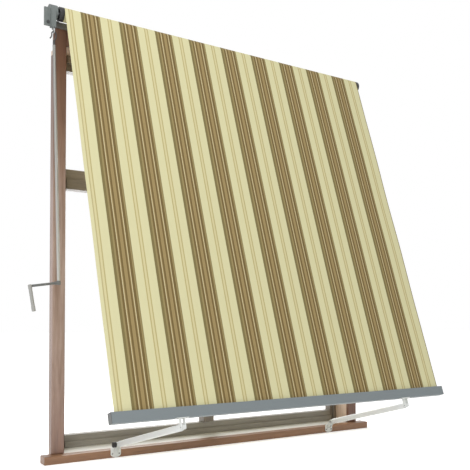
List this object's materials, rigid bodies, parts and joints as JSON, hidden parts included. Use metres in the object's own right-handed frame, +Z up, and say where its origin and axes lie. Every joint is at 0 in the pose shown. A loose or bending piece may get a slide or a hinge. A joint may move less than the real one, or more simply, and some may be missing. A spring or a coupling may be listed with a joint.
{
  "type": "drop-arm awning",
  "caption": "Striped fabric awning on a wooden window frame, rolled up by a crank and held out by two drop arms on the sill.",
  "frame": {"origin": "middle of the sill underside, in the plane of the front of the face boards", "axes": "+X right along the window, +Y into the wall, -Y outward to the front bar, +Z up"},
  "size_m": [2.2415, 0.936, 2.2763],
  "materials": {
    "oiled_wood": "brown stained and oiled",
    "window_wood": "grey-brown stained",
    "lining_wood": "light brown stained",
    "grey_aluminium": "satin grey coated",
    "pale_metal": "satin anodised",
    "zinc": "zinc plated",
    "dark_steel": "dark grey",
    "black_plastic": "black",
    "grey_plastic": "grey",
    "striped_fabric": "woven stripes in cream, tan and brown"
  },
  "bodies": {
    "frame": {"bottom_rail": "window_wood", "fabric": "striped_fabric", "head_bar": "grey_aluminium", "head_face_board": "oiled_wood", "head_lining": "lining_wood", "left_bracket": "grey_aluminium", "left_face_board": "oiled_wood", "left_knob": "black_plastic", "left_lining": "lining_wood", "left_pivot_bolt": "zinc", "left_sill_bracket": "pale_metal", "left_stile": "window_wood", "lower_mullion": "window_wood", "right_bracket": "grey_aluminium", "right_face_board": "oiled_wood", "right_knob": "black_plastic", "right_lining": "lining_wood", "right_pivot_bolt": "zinc", "right_sill_bracket": "pale_metal", "right_stile": "window_wood", "sill": "oiled_wood", "top_rail": "window_wood", "transom": "window_wood", "upper_mullion": "window_wood", "winch_bolt": "dark_steel", "winch_cover": "grey_aluminium", "winch_housing": "grey_aluminium"},
    "roller": {"roller_tube": "zinc", "left_plug": "grey_plastic", "right_plug": "grey_plastic", "drive_shaft": "zinc", "idle_pin": "zinc", "worm_wheel": "zinc", "fabric_roll": "striped_fabric"},
    "winch_shaft": {"worm_shaft": "zinc"},
    "crank": {"crank_hook": "dark_steel", "crank_ferrule": "dark_steel", "crank_rod": "pale_metal", "crank_elbow": "grey_plastic", "crank_arm": "grey_plastic", "crank_grip": "grey_plastic"},
    "arms": {"left_arm": "pale_metal", "right_arm": "pale_metal", "left_arm_foot": "pale_metal", "right_arm_foot": "pale_metal", "left_arm_tip": "pale_metal", "right_arm_tip": "pale_metal"},
    "bar": {"front_bar": "grey_aluminium", "left_end_cap": "grey_plastic", "right_end_cap": "grey_plastic", "hem_rod": "zinc", "left_clip": "pale_metal", "right_clip": "pale_metal", "left_clip_pin": "zinc", "right_clip_pin": "zinc", "left_clip_screw_1": "dark_steel", "left_clip_screw_2": "dark_steel", "right_clip_screw_1": "dark_steel", "right_clip_screw_2": "dark_steel"}
  },
  "joints": [
    {"name": "crank_turn", "type": "hinge", "parent": "frame", "child": "winch_shaft", "pos_m": [-1.032, -0.0585, 2.13], "axis": [0, 0.0793, 0.9968], "range_deg": [0, 5040]},
    {"name": "crank_swing", "type": "hinge", "parent": "winch_shaft", "child": "crank", "pos_m": [-1.032, -0.0585, 2.13], "axis": [-1, 0, 0], "range_deg": [0, 40]},
    {"name": "roller_spin", "type": "hinge", "parent": "frame", "child": "roller", "pos_m": [0, -0.024, 2.2403], "axis": [-1, 0, 0], "range_deg": [0, 720]},
    {"name": "arm_swing", "type": "hinge", "parent": "frame", "child": "arms", "pos_m": [0, -0.087, 0.0725], "axis": [-1, 0, 0], "range_deg": [0, 40], "deforming": ["fabric"]},
    {"name": "bar_tilt", "type": "hinge", "parent": "arms", "child": "bar", "pos_m": [0, -0.745, 0.2469], "axis": [1, 0, 0], "range_deg": [0, 44.5]}
  ],
  "couplings": [
    {"joint": "crank_turn", "follows": "arm_swing", "ratio": 126},
    {"joint": "roller_spin", "follows": "arm_swing", "ratio": 18},
    {"joint": "bar_tilt", "follows": "arm_swing", "ratio": 1.111}
  ]
}
